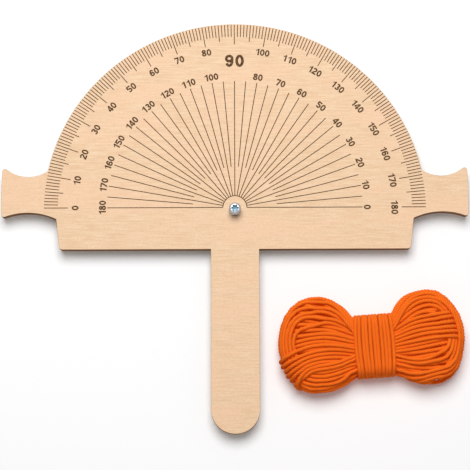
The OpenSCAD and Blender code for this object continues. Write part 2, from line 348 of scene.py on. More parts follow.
def turn_at(loop):
    """Turn at each point of a closed loop, in radians."""
    into = loop - np.roll(loop, 1, 0)
    out = np.roll(loop, -1, 0) - loop
    cross = into[:, 0] * out[:, 1] - into[:, 1] * out[:, 0]
    return np.arctan2(cross, (into * out).sum(1))


def rounder(loop, longest=1.2):
    """The same loop with more points on its arcs, each of them on the arc's own circle."""
    turns = turn_at(loop)
    points = []
    for i, start in enumerate(loop):
        end = loop[(i + 1) % len(loop)]
        points.append(start)
        first, second = turns[i], turns[(i + 1) % len(loop)]
        length = np.linalg.norm(end - start)
        bend = min(abs(first), abs(second)) * math.copysign(1, first)
        if first * second <= 0 or abs(bend) < 0.004 or abs(bend) > 0.35:
            continue
        parts = math.ceil(length / longest)
        radius = length / 2 / math.sin(bend / 2)
        across = np.array([end[1] - start[1], start[0] - end[0]]) / length
        for k in range(1, parts):
            angle = bend * (k / parts - 0.5)
            rise = radius * (math.cos(angle) - math.cos(bend / 2))
            along = radius * math.sin(angle) + length / 2
            points.append(start + (end - start) * along / length + across * rise)
    return np.array(points)


def inset(loop, amount):
    """A closed loop moved in by an amount; on a hole, whose loop runs the other way, it grows."""
    into = loop - np.roll(loop, 1, 0)
    out = np.roll(loop, -1, 0) - loop
    into /= np.linalg.norm(into, axis=1)[:, None]
    out /= np.linalg.norm(out, axis=1)[:, None]
    middle = into + out
    middle /= np.linalg.norm(middle, axis=1)[:, None]
    side = np.stack([-middle[:, 1], middle[:, 0]], 1)
    stretch = np.clip((into * middle).sum(1), 0.5, 1.0)
    return loop + side * (amount / stretch)[:, None]


def bar(start, end, width):
    """Corners of a straight mark."""
    along = (end - start) / np.linalg.norm(end - start)
    side = np.array([-along[1], along[0]]) * width / 2
    return [np.array([start - side, end - side, end + side, start + side])]


def arc_band(centre, radius, width, sides=36):
    """Four-sided parts of a half ring."""
    angles = np.linspace(0, math.pi, sides + 1)
    way = np.stack([np.cos(angles), np.sin(angles)], 1)
    inner, outer = centre + way * (radius - width / 2), centre + way * (radius + width / 2)
    return [np.array([inner[k], outer[k], outer[k + 1], inner[k + 1]]) for k in range(sides)]


def stroke(points, width):
    """Four-sided parts of a line of even width."""
    points = np.asarray(points, float)
    way = np.gradient(points, axis=0)
    way /= np.linalg.norm(way, axis=1)[:, None]
    side = np.stack([-way[:, 1], way[:, 0]], 1) * width / 2
    left, right = points + side, points - side
    return [np.array([left[k], left[k + 1], right[k + 1], right[k]]) for k in range(len(points) - 1)]


def oval(y, half_x, half_y, start, end):
    """Points of an oval round (0, y) from one angle to another, in degrees."""
    turn = np.radians(np.linspace(start, end, max(3, round(abs(end - start) / 18)) + 1))
    return np.stack([half_x * np.cos(turn), y + half_y * np.sin(turn)], 1)


def digit_shapes(digit, weight):
    """A digit of height 1 that stands on 0, its middle at x = 0, from strokes."""
    thin, half = weight / 2, 0.335 - weight / 2
    if digit == "0":
        return stroke(oval(0.5, half, 0.5 - thin, 0, 370), weight)
    if digit == "1":
        right = 0.06 + weight
        flag = [(0.06, 0.74), (-0.2, 0.62), (-0.2, 0.77), (0.0, 0.87), (0.09, 1.0)]
        return [np.array([(0.06, 0.0), *flag, (right, 1.0), (right, 0.0)])]
    if digit == "2":
        bow = oval(0.7, half, 0.3 - thin, 170, -42)
        return stroke([*bow, (-0.2, weight)], weight) + bar_parts((-0.33, thin), (0.33, thin), weight)
    if digit == "3":
        lower = stroke(oval(0.285, half, 0.285 - thin, 95, -160), weight)
        return stroke(oval(0.735, 0.9 * half, 0.265 - thin, 160, -95), weight) + lower
    if digit == "4":
        slope = bar_parts((0.1, 0.97), (-0.29, 0.3), 0.8 * weight)
        return slope + bar_parts((-0.35, 0.29), (0.34, 0.29), 0.9 * weight) + bar_parts((0.13, 0), (0.13, 1), weight)
    if digit == "5":
        top = bar_parts((-0.22, 1 - thin), (0.29, 1 - thin), weight)
        return top + bar_parts((-0.2, 1), (-0.25, 0.5), weight) + stroke(oval(0.33, half, 0.33 - thin, 135, -158), weight)
    if digit == "7":
        return bar_parts((-0.32, 1 - thin), (0.33, 1 - thin), weight) + bar_parts((0.22, 1 - weight), (-0.1, 0), weight)
    if digit == "8":
        upper = stroke(oval(0.745, 0.88 * half, 0.255 - thin, 0, 370), weight)
        return upper + stroke(oval(0.29, half, 0.29 - thin, 0, 370), weight)
    nine = stroke(oval(0.68, half, 0.32 - thin, 0, 370), weight)
    nine += stroke(oval(0.5, half, 0.5 - thin, 25, -150), weight)
    return nine if digit == "9" else [(0, 1) - shape for shape in nine]


def bar_parts(start, end, width):
    return bar(np.array(start, float), np.array(end, float), width)


def number_shapes(text, height, weight, pitch):
    """Filled shapes of a number, centred, its digits height tall and pitch heights apart."""
    shapes = []
    for k, digit in enumerate(text):
        middle = np.array([pitch * (k - (len(text) - 1) / 2), -0.5])
        shapes += [(shape + middle) * height for shape in digit_shapes(digit, weight)]
    return shapes


def turned_shapes(shapes, centre, radius, angle):
    """Shapes set at a radius and angle of the scale, their tops pointing outward."""
    way = np.array([math.cos(angle), math.sin(angle)])
    right = np.array([way[1], -way[0]])
    return [centre + radius * way + s[:, :1] * right + s[:, 1:] * way for s in shapes]


def scale_marks(settings):
    """Every engraved mark as flat shapes: ticks, rays, half ring and both rows of numbers."""
    centre = np.array([0.0, settings.zero_height / MM])
    edge = settings.scale_radius / MM
    width = settings.mark_width / MM
    shapes = arc_band(centre, 8.0, width)
    for degree in range(181):
        angle = math.radians(degree)
        way = np.array([math.cos(angle), math.sin(angle)])
        longer = 1 - math.sin(angle)
        deep = 9.0 + 0.6 * longer
        if degree % 5 == 0:
            deep = 14.4 + 2.0 * longer if degree % 10 == 0 else 12.0 + 0.6 * longer
        shapes += bar(centre + way * (edge - deep), centre + way * (edge - 0.35), width)
        if degree % 5 == 0:
            inner = 8.0 if degree % 10 == 0 else 28.0
            outer = 85.0 + 2.4 * math.sin(angle)
            shapes += bar(centre + way * inner, centre + way * outer, width)
    small = settings.number_height / MM
    for degree in range(0, 181, 10):
        angle = math.radians(180 - degree)
        if degree == 90:
            big = number_shapes("90", settings.big_number_height / MM, settings.weight, 0.81)
            shapes += turned_shapes(big, centre, 101.6, angle)
            continue
        for text, radius, rise in ((degree, 106.4, 2.6), (180 - degree, 88.2, 3.2)):
            number = number_shapes(str(text), small, settings.weight, 0.72)
            out = radius + rise * math.sin(angle)
            shapes += turned_shapes(number, centre, out, angle)
    return shapes


def outline_area(outline):
    """Area inside an outline, positive where it runs counter-clockwise."""
    x, y = outline[:, 0], outline[:, 1]
    return 0.5 * (x * np.roll(y, -1) - y * np.roll(x, -1)).sum()


def flat_mesh(loops, shapes):
    """Triangles inside the first loop and outside the others, and which lie in a shape."""
    points, faces = [], []
    for outline in [*loops, *shapes]:
        size = outline_area(outline)
        if abs(size) < 1e-4:
            continue
        faces.append(list(range(len(points), len(points) + len(outline))))
        points += [Vector(p) for p in (outline if size > 0 else outline[::-1])]
    corners, _, triangles, _, _, sources = delaunay_2d_cdt(points, [], faces, 1, 1e-5)
    kept, marked = [], []
    holes = set(range(1, len(loops)))
    for triangle, source in zip(triangles, sources):
        owners = set(source)
        if 0 in owners and not owners & holes:
            kept.append(list(triangle))
            marked.append(any(owner >= len(loops) for owner in owners))
    return np.array([c[:] for c in corners]), kept, marked


def engraved(corners, triangles, marked, top, depth):
    """The front face with its marks sunk by a depth, and upright walls along them."""
    count = len(corners)
    points = [(x, y, top) for x, y in corners] + [(x, y, top - depth) for x, y in corners]
    faces, slots = [], []
    owner = {}
    for triangle, mark in zip(triangles, marked):
        faces.append([i + count * mark for i in triangle])
        slots.append(int(mark))
        for a, b in zip(triangle, triangle[1:] + triangle[:1]):
            owner[(a, b)] = mark
    for (a, b), mark in owner.items():
        if mark and owner.get((b, a)) is False:
            faces.append([b, a, a + count, b + count])
            slots.append(1)
    return points, faces, slots


def edge_rows(settings):
    """Heights down the cut edge and how far each is set in: rounded arrises, a nick at each glue."""
    depth = PLATE_HIGH[2] - PLATE_LOW[2]
    arris = settings.arris / MM
    rows = [(0.0, arris), (arris, 0.0)]
    plies = round(depth * MM / settings.ply)
    for k in range(1, plies):
        glue = depth * k / plies
        rows += [(glue - 0.09, 0.0), (glue, 0.05), (glue + 0.09, 0.0)]
    return rows + [(depth - arris, 0.0), (depth, arris)]


def make_plate(settings):
    top, bottom = PLATE_HIGH[2], PLATE_LOW[2]
    loops = [rounder(loop) for loop in face_loops("plate", top)]
    rows = edge_rows(settings)
    faces_loops = [inset(loop, rows[0][1]) for loop in loops]
    corners, triangles, marked = flat_mesh(faces_loops, scale_marks(settings))
    points, faces, slots = engraved(
        corners, triangles, marked, top, settings.mark_depth / MM
    )
    corners, triangles, _ = flat_mesh(faces_loops, [])
    start = len(points)
    points += [(x, y, bottom) for x, y in corners]
    faces += [[start + i for i in reversed(t)] for t in triangles]
    slots += [0] * len(triangles)
    for loop in loops:
        start, around = len(points), len(loop)
        for depth, set_in in rows:
            points += [(x, y, top - depth) for x, y in inset(loop, set_in)]
        walls = ring_walls(len(rows), around, closed_ends=False)
        faces += [[start + i for i in reversed(w)] for w in walls]
        slots += [2] * len(walls)
    materials = [plywood_face(settings), burnt_mark(settings), burnt_edge(settings)]
    piece = mesh_piece("plywood_plate", points, faces, materials, slots)
    merge_points(piece, 0.002)
    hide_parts("plate")
    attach(piece, "plate")
    return piece


def merge_points(piece, distance):
    """Joins points that lie within a distance in millimetres."""
    import bmesh

    work = bmesh.new()
    work.from_mesh(piece.data)
    bmesh.ops.remove_doubles(work, verts=work.verts, dist=distance * MM)
    work.to_mesh(piece.data)
    work.free()


# Screw


def lobed(angles, tip, core):
    """Radius of the six-lobe socket round its axis."""
    return core + (tip - core) * (0.5 + 0.5 * np.cos(6 * angles)) ** 0.8


def ring_at(radius, height, angles):
    radius = np.broadcast_to(radius, angles.shape)
    height = np.broadcast_to(height, angles.shape)
    return np.stack([radius * np.cos(angles), radius * np.sin(angles), height], 1)


def make_screw(settings):
    around = 96
    angles = np.linspace(0, 2 * math.pi, around, endpoint=False)
    shank = settings.thread / MM / 2
    lead = settings.thread_pitch / MM
    head = settings.head_width / MM / 2
    low, high = SCREW_LOW[2], SCREW_HIGH[2]
    seat = high - settings.head_height / MM
    rings = []
    step = lead / 8
    for k in range(int((seat - 0.25 - low) / step) + 1):
        z = low + k * step
        turn = (z / lead - angles / (2 * math.pi)) % 1.0
        flank = np.clip(1.25 - 2.5 * np.abs(turn - 0.5), 0.0, 1.0)
        radius = shank - 0.02 - 0.4 * (1 - flank)
        radius = np.minimum(radius, shank - 0.55 + (z - low))
        rings.append(ring_at(radius, z, angles))
    rings.append(ring_at(shank - 0.1, seat - 0.1, angles))
    rings.append(ring_at(shank + 0.12, seat, angles))
    rings.append(ring_at(head - 0.22, seat, angles))
    shoulder, dome = 1.7, 14.0
    shoulder_x = head - shoulder
    dome_z = high - dome + 0.02
    shoulder_z = dome_z + math.sqrt((dome - shoulder) ** 2 - shoulder_x**2)
    rings.append(ring_at(head - 0.06, seat + 0.06, angles))
    rings.append(ring_at(head, seat + 0.22, angles))
    touch = math.asin(shoulder_x / (dome - shoulder))
    for turn in np.linspace(0.0, math.pi / 2 - touch, 9):
        rings.append(ring_at(shoulder_x + shoulder * math.cos(turn),
                             shoulder_z + shoulder * math.sin(turn), angles))
    socket_tip = settings.socket_width / MM / 2
    socket_core = 0.7 * socket_tip
    edge_r = lobed(angles, socket_tip + 0.14, socket_core + 0.14)
    rim = dome * math.sin(touch)
    for share in (0.25, 0.5, 0.75, 1.0):
        radius = rim + (edge_r - rim) * share
        rings.append(ring_at(radius, dome_z + np.sqrt(dome**2 - radius**2), angles))
    wall = lobed(angles, socket_tip, socket_core)
    floor = high - settings.socket_depth / MM
    lip = dome_z + np.sqrt(dome**2 - edge_r**2) - 0.12
    recess = len(rings)
    for share in (0.0, 0.02, 0.5, 0.98, 1.0):
        rings.append(ring_at(wall - 0.05 * share, lip + (floor - lip) * share, angles))
    rings.append(ring_at(wall - 0.16, floor - 0.06, angles))
    rings.append(ring_at(0.75 * socket_core, floor - 0.12, angles))
    rings.append(ring_at(0.12, floor - 0.45, angles))
    points = np.concatenate(rings)
    faces = ring_walls(len(rings), around)
    # Faces inside the socket, and the fan at its floor, take the finish with painted shade
    socket_shade_slots = [int(k // around >= recess and k < len(faces) - 2) for k in range(len(faces))]
    socket_shade_slots[-1] = 1
    materials = [zinc(settings, "zinc_screw", 0.24), socket_finish(settings)]
    piece = mesh_piece("pan_head_screw", points, faces, materials, socket_shade_slots, smooth=True)
    soften(piece, 35)
    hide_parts("pivot_screw")
    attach(piece, "screw")
    return piece


def soften(piece, degrees):
    """Smooth shading except at edges sharper than the angle."""
    piece.data.set_sharp_from_angle(angle=math.radians(degrees))


# Yarn


def near_pairs(points, reach, apart):
    """Pairs of points of the strand within reach of each other and more than apart steps along."""
    cell = np.floor(points / reach).astype(np.int64)
    cell -= cell.min(0) - 1
    size = cell.max(0) + 2
    key = (cell[:, 0] * size[1] + cell[:, 1]) * size[2] + cell[:, 2]
    order = np.argsort(key, kind="stable")
    ordered = key[order]
    firsts, seconds = [], []
    for dx in (-1, 0, 1):
        for dy in (-1, 0, 1):
            aim = key + (dx * size[1] + dy) * size[2]
            low = np.searchsorted(ordered, aim - 1, "left")
            count = np.searchsorted(ordered, aim + 1, "right") - low
            first = np.repeat(np.arange(len(points)), count)
            skip = np.repeat(np.cumsum(count) - count, count)
            second = order[np.repeat(low, count) + np.arange(len(first)) - skip]
            keep = second - first > apart
            firsts.append(first[keep])
            seconds.append(second[keep])
    first, second = np.concatenate(firsts), np.concatenate(seconds)
    close = ((points[first] - points[second]) ** 2).sum(1) < reach * reach
    return first[close], second[close]


def through(controls, step):
    """A smooth line through control points, with points a step apart."""
    controls = np.asarray(controls, float)
    padded = np.vstack([2 * controls[0] - controls[1], controls, 2 * controls[-1] - controls[-2]])
    fine = []
    share = np.linspace(0, 1, 12, endpoint=False)[:, None]
    for i in range(len(controls) - 1):
        a, b, c, d = padded[i : i + 4]
        fine.append(
            0.5 * (2 * b + (c - a) * share + (2 * a - 5 * b + 4 * c - d) * share**2
                   + (3 * b - 3 * c + d - a) * share**3)
        )
    fine = np.vstack([*fine, controls[-1:]])
    return even(fine, step)


def even(points, step):
    """The same line with points at even steps."""
    way = np.concatenate([[0], np.cumsum(np.linalg.norm(np.diff(points, axis=0), axis=1))])
    marks = np.linspace(0, way[-1], max(2, round(way[-1] / step) + 1))
    return np.stack([np.interp(marks, way, points[:, k]) for k in range(3)], 1)


class Bundle:
    """Loops that lie side by side in the hank, from the core out in the order they are wound.

    left and right give their plane in each lobe: yaw and roll in degrees, shift of the middle
    one, their step in yarns, how many yarns they lie inside the lobe's outline and under its
    top, and their rank, which says what they cross over. Loops that lie flat, with a roll near
    0, step along the lobe's side. waist gives the first loop's place across the waist and the
    step to the next, and height how high the upper and the lower strands lie there. ring is
    where the lower strands of loops that lie flat cross the waist, climbing from one to the next.
    """

    def __init__(self, loops, left, right, waist, height, ring=None):
        self.loops = loops
        self.left = left
        self.right = right
        self.waist = waist
        self.height = height
        self.ring = ring

    def places(self, index):
        """Where loop index crosses the waist, with its upper and its lower strand."""
        y = self.waist[0] + self.waist[1] * index
        upper, lower = (y, self.height[0]), (y, self.height[1])
        if self.ring is not None:
            lower = (self.ring + 0.9 * index, self.height[1] + 1.2 * index)
        return upper, lower


BUNDLES = (
    Bundle(4, (0, 0, 0, 1.0, 3.6, 2.2, 0), (0, 0, 0, 1.0, 3.6, 2.2, 0), (6, -4.0), (0.6, -0.6)),
    Bundle(9, (6, 90, 0, 1.4, 2.3, 1.9, 0), (-6, 90, 0, 1.4, 2.3, 1.9, 0), (11, -2.6), (2.0, -2.0)),
    Bundle(10, (0, 0, 0.5, 0.85, 0.4, 0.6, 1), (4, 0, -0.5, 0.85, 0.4, 0.6, 1), (17.5, -1.2), (3.0, -5.5), -18.3),
    Bundle(13, (14, 90, 0, 1.45, 1.2, 0.95, 2), (-16, 90, 0, 1.4, 1.3, 0.95, 2), (15, -2.5), (3.8, -3.8)),
    Bundle(3, (-2, 0, 11.0, 0.97, 0.4, 0.0, 4), (9, 0, 11.8, 1.0, 0.2, 0.0, 4), (11.2, -1.7), (5.2, 2.3), -14.7),
    Bundle(7, (-17, 88, 11.5, 1.03, 0.5, 0.0, 7), (8, 92, 8.8, 1.12, 0.7, 0.9, 3), (-2.4, -2.45), (5.8, -5.8)),
    Bundle(6, (-3, 90, -5.0, 1.04, 1.2, 0.0, 3), (2, 86, -5.5, 1.12, 0.9, 0.0, 5), (7.9, -2.0), (5.8, -5.8)),
    Bundle(4, (-2, 0, 1.6, 0.9, 0.3, 0.0, 6), (6, 0, 3.0, 0.97, 0.3, 0.0, 6), (18.2, -1.7), (5.2, -2.5), -17.3),
)
# Loops wound first, which the others hide
HIDDEN_LOOPS = 20
# How far the lobes sit off the waist's middle, toward the plate
LOBE_RISE = 2.9
# How square the lobes are at the band
SHOULDER = 3.8


def lobe_axes(side):
    """Half length, half width and half height of a lobe, and the place of its middle."""
    if side < 0:
        return np.array([24.0, 32.2, 12.0]), np.array([-38.2, LOBE_RISE, 0.0])
    return np.array([23.0, 32.0, 12.0]), np.array([36.2, LOBE_RISE, 0.0])


def lobe_arc(spec, index, loops, side, thick):
    """Control points of one loop round a lobe: the cut of its plane with the lobe's form."""
    yaw, roll, shift, spread, wide, deep, _ = spec
    yaw, roll = math.radians(yaw), math.radians(roll)
    axes, middle = lobe_axes(side)
    axes = axes - thick / 2 - np.array([wide, wide, deep]) * 0.96 * thick
    out = np.array([math.cos(yaw), math.sin(yaw), 0.0])
    across = np.array([-math.sin(yaw), math.cos(yaw), 0.0])
    upper = math.cos(roll) * across + math.sin(roll) * np.array([0, 0, 1.0])
    normal = np.cross(out, upper)
    offset = (index - (loops - 1) / 2) * spread * thick + shift
    if abs(math.sin(roll)) < 0.5:
        turn = np.linspace(-math.pi / 2, math.pi / 2, 91)
        side_y, side_z = axes[1] * np.cos(turn), axes[2] * np.sin(turn)
        up_side = np.concatenate([[0], np.cumsum(np.hypot(np.diff(side_y), np.diff(side_z)))])
        offset = np.interp(offset, up_side - up_side[45], side_z)
    base = normal * offset
    weight = 1 / axes**2
    reach = (base**2 * weight).sum()
    if reach > 0.93:
        base *= math.sqrt(0.93 / reach)
        reach = 0.93
    points = []
    for angle in np.radians(np.linspace(133, -114, 14)):
        way = math.cos(angle) * out + math.sin(angle) * upper
        a, b = (way**2 * weight).sum(), (base * way * weight).sum()
        points.append(base + way * (math.sqrt(b * b + a * (1 - reach)) - b) / a)
    points = np.array(points)
    share = np.clip(-points[:, 0] / axes[0], 0, 1)
    round_off = np.sqrt(1 - share**2)
    points /= ((share**SHOULDER + round_off**SHOULDER) ** (1 / SHOULDER))[:, None]
    return points * (side, 1, 1) + middle


def wound_loops(settings):
    """Middle of the yarn before it settles, loop after loop, and the rank of each point."""
    thick = settings.yarn_width / MM
    waist = settings.waist_length / MM / 2
    crossings = []
    for bundle in BUNDLES:
        for index in range(bundle.loops):
            crossings.append((bundle, index, *bundle.places(index)))
    controls, ranks = [], [0]
    for number, (bundle, index, upper, lower) in enumerate(crossings):
        controls += [(x, *upper) for x in (0.75 * waist, 0, -0.75 * waist)]
        controls += list(lobe_arc(bundle.left, index, bundle.loops, -1, thick))
        controls += [(x, *lower) for x in (-waist, -0.6 * waist, 0.6 * waist, waist)]
        after, index, upper, _ = crossings[min(number + 1, len(crossings) - 1)]
        controls += list(lobe_arc(after.right, index, after.loops, 1, thick)[::-1])
        ranks += [bundle.left[-1], after.right[-1]]
    points = through(controls, thick / 2)
    arcs = np.cumsum(np.diff(np.sign(points[:, 0]), prepend=1) != 0)
    return points, np.array(ranks)[arcs]


def slack(x, waist):
    """How full the yarn is: pressed thinner where the band holds it."""
    grow = np.clip((np.abs(x) - 0.75 * waist) / (0.9 * waist), 0, 1)
    return 0.82 + 0.18 * grow * grow * (3 - 2 * grow)


def outward(points):
    """Direction out of the hank at each point."""
    normal = np.empty_like(points)
    for side in (-1, 1):
        axes, middle = lobe_axes(side)
        here = points[:, 0] * side >= 0
        off = points[here] - middle
        off[:, 0] = np.maximum(off[:, 0] * side, 0) * side
        normal[here] = off / axes**2
    return normal / (np.linalg.norm(normal, axis=1)[:, None] + 1e-9)


def settle(points, ranks, settings):
    """Lays the loops on each other: strands that run side by side push each other aside, where
    two cross, the higher rank goes over, and all stay smooth, inside the hank's form."""
    thick = settings.yarn_width / MM
    waist = settings.waist_length / MM / 2
    table = -settings.waist_height / MM
    aim = points.copy()
    for turn in range(settings.rounds):
        if turn % 4 == 0:
            first, second = near_pairs(points, 1.3 * thick, 4)
        way = np.gradient(points, axis=0)
        way /= np.linalg.norm(way, axis=1)[:, None] + 1e-9
        full = slack(points[:, 0], waist)
        gap = points[second] - points[first]
        far = np.linalg.norm(gap, axis=1) + 1e-9
        want = 0.47 * thick * (full[first] + full[second])
        close = far < want
        one, other = first[close], second[close]
        gap, far, want = gap[close], far[close], want[close]
        push = gap * (0.5 * (want - far) / far)[:, None]
        cross = np.abs((way[one] * way[other]).sum(1)) < 0.94
        normal = outward(points[one[cross]])
        rise = (gap[cross] * normal).sum(1)
        flat = np.maximum(want[cross] ** 2 - (far[cross] ** 2 - rise**2), 0)
        over = np.where(ranks[other[cross]] < ranks[one[cross]], -1.0, 1.0)
        lift = np.clip(0.5 * (np.sqrt(flat) - over * rise), 0, 0.25 * thick)
        push[cross] = normal * (over * lift)[:, None]
        move = np.zeros_like(points)
        times = np.zeros(len(points))
        for index, sign in ((one, -1.0), (other, 1.0)):
            for axis in range(3):
                move[:, axis] += sign * np.bincount(index, push[:, axis], len(points))
            times += np.bincount(index, minlength=len(points))
        move *= 1.3 / np.maximum(times, 1.0)[:, None] ** 0.75
        points = points + move - way * (move * way).sum(1)[:, None]
        bend, stiff = bending(points, 1)
        along = way * (bend * way).sum(1)[:, None]
        points += 0.04 * bend + 0.22 * stiff + 0.3 * along
        points += 0.2 * bending(points, 4)[1] + 0.02 * (aim - points)
        points = keep_in(points, waist, thick, table)
    return points


def bending(points, reach):
    """How far each point lies off the middle of its neighbours, and off their own bend."""
    bend = np.zeros_like(points)
    bend[reach:-reach] = 0.5 * (points[: -2 * reach] + points[2 * reach :]) - points[reach:-reach]
    stiff = bend.copy()
    stiff[reach:-reach] -= 0.5 * (bend[: -2 * reach] + bend[2 * reach :])
    return bend, stiff


def keep_in(points, waist, thick, table):
    """Holds the waist inside the band, the lobes inside their form, and all above the table."""
    x = np.abs(points[:, 0])
    near = 0.5 + 0.5 * np.tanh(points[:, 1] / 6.0)
    flare = np.clip((x - waist + 1 + 2 * near) / 13.0, 0, 1) ** (0.55 - 0.15 * near)
    half_y = 17.6 + (12.6 + near) * flare
    half_z = 6.0 + (10.9 - 6.0) * flare
    rise = LOBE_RISE * flare
    y, z = (points[:, 1] - rise) / half_y, points[:, 2] / half_z
    power = 3.2 - 0.9 * flare
    out = (np.abs(y) ** power + np.abs(z) ** power) ** (1 / power)
    pull = np.where(out > 1, 1 / np.maximum(out, 1), 1.0)
    points[:, 1] = rise + (points[:, 1] - rise) * pull
    points[:, 2] *= pull
    points[:, 2] = np.maximum(points[:, 2], table + 0.47 * thick)
    return points


def band_wraps(settings):
    """Middle of the wraps round the waist, from its far side down and under."""
    half_y, half_z, corner = 19.8, 8.1, 6.4
    outline = []
    for side_y, side_z, turn in ((-1, 1, 90), (-1, -1, 180), (1, -1, 270), (1, 1, 360)):
        for angle in np.radians(np.linspace(turn, turn + 90, 7)):
            outline.append((0, side_y * (half_y - corner) + corner * math.cos(angle),
                            side_z * (half_z - corner) + corner * math.sin(angle)))
    section = even(np.array(outline + outline[:1]), 1.2)[:-1]
    around = len(section)
    start, count = round(0.18 * around), round((settings.wraps + 0.1) * around)
    way = (np.arange(count) + start) / around
    points = section[(np.arange(count) + start) % around]
    bow = 0.4 * np.sin(2 * math.pi * way) + 0.2 * np.sin(2.3 * way)
    pinch = 1 - 0.1 * (points[:, 1] / half_y) ** 2
    pitch = (settings.waist_length / MM - 1.5) / settings.wraps
    points[:, 0] = pitch * (settings.wraps / 2 - way + 0.5) * pinch + bow
    return points


def yarn_path(settings):
    """Middle of the whole yarn, with wider steps where the outer loops hide it, and how full it
    is at each point."""
    waist = settings.waist_length / MM / 2
    loops = settle(*wound_loops(settings), settings)
    loops = loops[: np.flatnonzero(loops[:, 0] < -waist)[-1] + 1]
    band = band_wraps(settings)
    under = [(x, loops[-1, 1], loops[-1, 2] - 1.5) for x in (-0.5 * waist, 0.5 * waist)]
    turn = [(waist + 3.5, -18.6, 0.5), (waist + 4.0, -20.6, -2.0)]
    link = through([loops[-3], *under, *turn, band[0], band[2]], 1.3)
    tuck = [band[-1] + (2.5, 1.5, 1.8), band[-1] + (7.0, 3.0, 2.2)]
    end = through([band[-3], band[-1], *tuck], 1.3)
    crossed = np.cumsum(np.diff(np.sign(loops[:, 0])) != 0)
    split = np.searchsorted(crossed, 2 * HIDDEN_LOOPS)
    step = settings.ring_step / MM
    loops = np.vstack([even(loops[:split], 2.0 * step), even(loops[split:-2], step)])
    outer = even(np.vstack([link[:-2], band, end[2:]]), step)[1:]
    full = np.concatenate([slack(loops[:, 0], waist), np.full(len(outer), 0.96)])
    full = np.convolve(np.pad(full, 6, "edge"), np.ones(13) / 13, "valid")
    return np.vstack([loops, outer]), full


def carried(line, first):
    """Side directions along a line that turn as little as they can."""
    ways = np.gradient(line, axis=0)
    ways /= np.linalg.norm(ways, axis=1)[:, None]
    side = np.cross(ways[0], first)
    sides = []
    for way in ways:
        side = side - way * side.dot(way)
        side = side / math.sqrt(side.dot(side))
        sides.append(side)
    sides = np.array(sides)
    return sides, np.cross(ways, sides)


def make_yarn(settings):
    line, full = yarn_path(settings)
    thick = settings.yarn_width / MM
    sides, ups = carried(line, np.array([0, 0, 1.0]))
    steps = np.linalg.norm(np.diff(line, axis=0), axis=1)
    way = np.concatenate([[0], np.cumsum(steps)])
    around = settings.plies * 2
    angles = np.linspace(0, 2 * math.pi, around, endpoint=False)
    ply = np.abs(np.cos(settings.plies * angles / 2))
    profile = 0.5 * thick * (1 - settings.ply_depth * (1 - ply))
    turned = angles[None, :] + (2 * math.pi * way / (settings.twist / MM))[:, None]
    radius = profile[None, :] * full[:, None]
    rings = (
        line[:, None, :]
        + (radius * np.cos(turned))[..., None] * sides[:, None, :]
        + (radius * np.sin(turned))[..., None] * ups[:, None, :]
    )
    spin = np.array(Matrix.Rotation(settings.hank_turn, 3, "Z"))
    middle = np.array([settings.hank_x / MM, settings.hank_y / MM, FLOOR_Z + settings.waist_height / MM])
    points = rings.reshape(-1, 3) @ spin.T + middle
    points[:, 2] = np.maximum(points[:, 2], FLOOR_Z + 0.02)
    faces = ring_walls(len(line), around)
    piece = mesh_piece("yarn", points, faces, [yarn_fibre(settings)], smooth=True)
    # How deep each point lies between the plies, which the finish darkens as painted shade
    groove_shade = piece.data.attributes.new("groove_shade", "FLOAT", "POINT")
    groove_shade.data.foreach_set("value", np.tile(1 - ply, len(line)).astype(np.float32))
    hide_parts("yarn_hank", "yarn_band")
    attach(piece, "yarn")
    return piece


# Stage


def make_camera(settings):
    data = bpy.data.cameras.new("camera")
    data.sensor_width = 36.0
    data.lens = settings.lens
    data.clip_start, data.clip_end = 0.05, 20.0
    camera = bpy.data.objects.new("camera", data)
    tilt = Matrix.Rotation(settings.tilt, 4, "X")
    roll = Matrix.Rotation(settings.camera_roll, 4, "Z")
    camera.matrix_world = Matrix.Translation(settings.camera_place) @ tilt @ roll
    bpy.context.scene.collection.objects.link(camera)
    bpy.context.scene.camera = camera


def floor_finish(settings):
    """Pale floor that takes shadows; cameras and mirrors see it a little lighter than it is lit,
    and white far from the object."""
    finish = Finish("pale_floor")
    tree, shader = finish.tree, finish.shader
    finish.set(Base_Color=tuple(settings.floor), Roughness=0.9, Specular_IOR_Level=0.0)
    rays = finish.node("ShaderNodeLightPath", output="Is Camera Ray")
    light_path = rays.socket.node
    seen = rays
    for name in ("Is Glossy Ray", "Is Transmission Ray"):
        seen = finish.node("ShaderNodeMath", {"operation": "MAXIMUM"},
                           {0: seen, 1: Wire(finish, light_path.outputs[name])})
    glow = finish.node("ShaderNodeEmission", None,
                       {"Color": (1.0, 1.0, 1.0), "Strength": seen * settings.floor_glow})
    both = finish.node("ShaderNodeAddShader", None,
                       {0: Wire(finish, shader.outputs[0]), 1: glow})
    away = finish.node("ShaderNodeVectorMath", {"operation": "LENGTH"}, {0: finish.place()}, "Value")
    white = finish.node("ShaderNodeEmission", None, {"Color": (1.0, 1.0, 1.0), "Strength": 1.0})
    whole = finish.node("ShaderNodeMixShader", None,
                        {0: seen * away.ramp(320.0, 1000.0), 1: both, 2: white})
    output = tree.nodes["Material Output"]
    tree.links.new(whole.socket, output.inputs["Surface"])
    return finish.material


def make_lamp(name, place, aim, size, power):
    data = bpy.data.lights.new(name, "AREA")
    data.shape = "DISK"
    data.size = size
    data.energy = power
    lamp = bpy.data.objects.new(name, data)
    lamp.location = place
    lamp.rotation_mode = "QUATERNION"
    lamp.rotation_quaternion = (Vector(aim) - Vector(place)).to_track_quat("-Z", "Y")
    bpy.context.scene.collection.objects.link(lamp)


